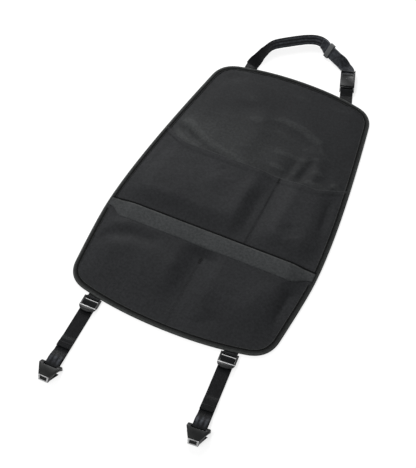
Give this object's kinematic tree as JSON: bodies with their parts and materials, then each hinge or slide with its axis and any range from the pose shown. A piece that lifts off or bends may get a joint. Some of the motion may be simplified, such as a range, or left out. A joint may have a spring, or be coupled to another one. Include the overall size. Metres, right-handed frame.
{
  "type": "car seat back protector with pockets",
  "caption": "Flat bound cloth panel with a divided upper pocket, a banded lower pocket, a buckled headrest strap, and adjustable lower straps that end in hooks.",
  "frame": {"origin": "centre of the panel's flat back face", "axes": "+Y up the panel toward the headrest strap, +X to the right seen from the pocket side, +Z out of the pocket side"},
  "size_m": [0.4178, 0.9213, 0.0278],
  "materials": {
    "panel_cloth": "matte woven cloth",
    "pocket_cloth": "matte woven cloth",
    "band_cloth": "matte woven cloth",
    "binding": "woven edge tape",
    "webbing": "woven webbing with a slight sheen",
    "moulding": "satin black moulding",
    "slider": "grey satin moulding",
    "hook": "dark grey satin moulding"
  },
  "bodies": {
    "protector": {"back_panel": "panel_cloth", "edge_binding": "binding", "upper_pocket": "pocket_cloth", "lower_pocket": "pocket_cloth", "lower_pocket_band": "band_cloth", "headrest_strap": "webbing", "headrest_tab": "webbing", "buckle_female": "moulding", "buckle_male": "moulding", "buckle_strap": "webbing", "left_lock_loop": "webbing", "right_lock_loop": "webbing"},
    "slider": {"strap_slider": "slider"},
    "left_strap_set": {"left_ladder_lock": "moulding", "left_strap": "webbing"},
    "right_strap_set": {"right_ladder_lock": "moulding", "right_strap": "webbing"},
    "left_hook_body": {"left_hook": "hook"},
    "right_hook_body": {"right_hook": "hook"}
  },
  "joints": [
    {"name": "left_lock_tilt", "type": "hinge", "parent": "protector", "child": "left_strap_set", "pos_m": [-0.132, -0.3127, 0.0035], "axis": [1, 0, 0], "range_deg": [-80, 80]},
    {"name": "right_lock_tilt", "type": "hinge", "parent": "protector", "child": "right_strap_set", "pos_m": [0.132, -0.3127, 0.0035], "axis": [0.9968, 0.0802, 0], "range_deg": [-80, 80]},
    {"name": "left_hook_swing", "type": "hinge", "parent": "left_strap_set", "child": "left_hook_body", "pos_m": [-0.132, -0.4602, 0.0039], "axis": [1, 0, 0], "range_deg": [-70, 70]},
    {"name": "right_hook_swing", "type": "hinge", "parent": "right_strap_set", "child": "right_hook_body", "pos_m": [0.14383, -0.45972, 0.0039], "axis": [0.9968, 0.0802, 0], "range_deg": [-70, 70]},
    {"name": "slider_travel", "type": "slide", "parent": "protector", "child": "slider", "axis": [0.8609, -0.5088, 0], "range_m": [0, 0.018]}
  ]
}
